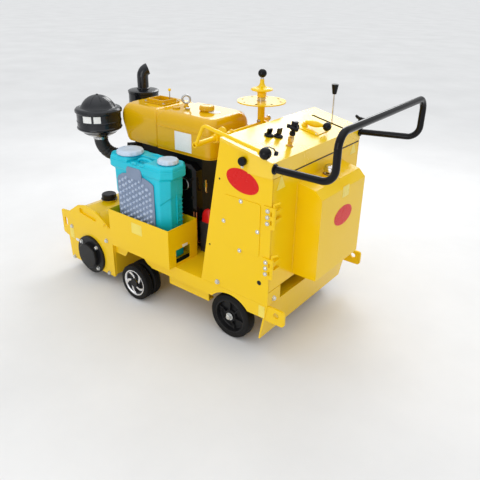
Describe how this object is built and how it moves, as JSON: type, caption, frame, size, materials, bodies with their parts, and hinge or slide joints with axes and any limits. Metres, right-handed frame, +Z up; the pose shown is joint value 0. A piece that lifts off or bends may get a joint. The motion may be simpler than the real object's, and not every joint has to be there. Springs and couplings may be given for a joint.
{
  "type": "walk-behind cold planer",
  "caption": "Walk-behind pavement milling machine: open diesel engine, pick drum under a hood, twin front wheels on a depth arm, cabinet with a tank on its rear door, loop handlebar.",
  "frame": {"origin": "centre of the machine's bounding box, on the ground under the wheels", "axes": "+X forward to the milling drum, +Y to the operator's left, +Z up"},
  "size_m": [1.7538, 0.872, 1.197],
  "materials": {
    "yellow_paint": "glossy chrome-yellow paint on sheet steel",
    "gold_paint": "glossy darker gold paint",
    "black_paint": "satin black paint",
    "engine_iron": "black painted cast iron",
    "bare_steel": "turned steel, dull on the picks",
    "alloy": "machined alloy",
    "chrome": "bright chrome",
    "tyre_rubber": "black solid rubber",
    "cyan_plastic": "blow-moulded turquoise plastic",
    "grey_plastic": "light blue-grey plastic",
    "red_plastic": "red terminal cover",
    "battery_case": "black battery case",
    "black_knob": "black phenolic knobs",
    "red_enamel": "red enamel of the blank badges",
    "pale_enamel": "pale yellow enamel of the blank notices",
    "white_enamel": "white enamel of the blank plates",
    "brass": "brass fittings and copper pipes",
    "hose_rubber": "black rubber of hoses and the intake elbow"
  },
  "bodies": {
    "chassis": {"deck_frame": "yellow_paint", "rear_beam": "yellow_paint", "plate_left": "yellow_paint", "plate_right": "yellow_paint", "drum_hood": "yellow_paint", "hood_cap": "black_paint", "drum_bearings": "black_paint", "rear_axle": "bare_steel", "water_box": "yellow_paint", "water_tank": "cyan_plastic", "tank_pad": "grey_plastic", "tank_caps": "grey_plastic", "crankcase": "engine_iron", "timing_cover": "engine_iron", "hopper": "gold_paint", "hopper_fittings": "gold_paint", "air_filter": "black_paint", "intake_elbow": "hose_rubber", "muffler": "black_paint", "exhaust_pipe": "black_paint", "battery": "battery_case", "battery_cap": "red_plastic", "belt_guard": "yellow_paint", "panel_left": "yellow_paint", "panel_right": "yellow_paint", "panel_front": "yellow_paint", "lid": "yellow_paint", "hand_cover": "yellow_paint", "hinge_leaves": "yellow_paint", "handlebar": "black_paint", "depth_column": "yellow_paint", "depth_crank": "yellow_paint", "clutch_lever": "yellow_paint", "console_levers": "black_paint", "console_knobs": "black_knob"},
    "drum": {"drum_axle": "bare_steel", "drum_pulley": "black_paint", "drum_shell": "black_paint", "drum_picks": "bare_steel"},
    "arm": {"axle_arm": "yellow_paint"},
    "wheels_front_left": {"tyres_front_left": "tyre_rubber", "rims_front_left": "alloy"},
    "wheels_front_right": {"tyres_front_right": "tyre_rubber", "rims_front_right": "alloy"},
    "wheel_rear_left": {"tyre_rear_left": "tyre_rubber", "hub_rear_left": "black_paint"},
    "wheel_rear_right": {"tyre_rear_right": "tyre_rubber", "hub_rear_right": "black_paint"},
    "door": {"rear_door": "yellow_paint", "hydraulic_tank": "yellow_paint", "tank_filler": "chrome"}
  },
  "joints": [
    {"name": "drum_spin", "type": "hinge", "parent": "chassis", "child": "drum", "pos_m": [0.6235, 0, 0.142], "axis": [0, 1, 0], "continuous": true},
    {"name": "arm_swing", "type": "hinge", "parent": "chassis", "child": "arm", "pos_m": [0.0515, 0, 0.17], "axis": [0, -1, 0], "range_deg": [0, 14.4]},
    {"name": "wheels_front_left_spin", "type": "hinge", "parent": "arm", "child": "wheels_front_left", "pos_m": [0.2515, 0.365, 0.1], "axis": [0, 1, 0], "continuous": true},
    {"name": "wheels_front_right_spin", "type": "hinge", "parent": "arm", "child": "wheels_front_right", "pos_m": [0.2515, -0.365, 0.1], "axis": [0, 1, 0], "continuous": true},
    {"name": "wheel_rear_left_spin", "type": "hinge", "parent": "chassis", "child": "wheel_rear_left", "pos_m": [-0.3515, 0.327, 0.115], "axis": [0, 1, 0], "continuous": true},
    {"name": "wheel_rear_right_spin", "type": "hinge", "parent": "chassis", "child": "wheel_rear_right", "pos_m": [-0.3515, -0.327, 0.115], "axis": [0, 1, 0], "continuous": true},
    {"name": "door_swing", "type": "hinge", "parent": "chassis", "child": "door", "pos_m": [-0.5905, 0.372, 0.6], "axis": [0, 0, -1], "range_deg": [0, 100]}
  ]
}
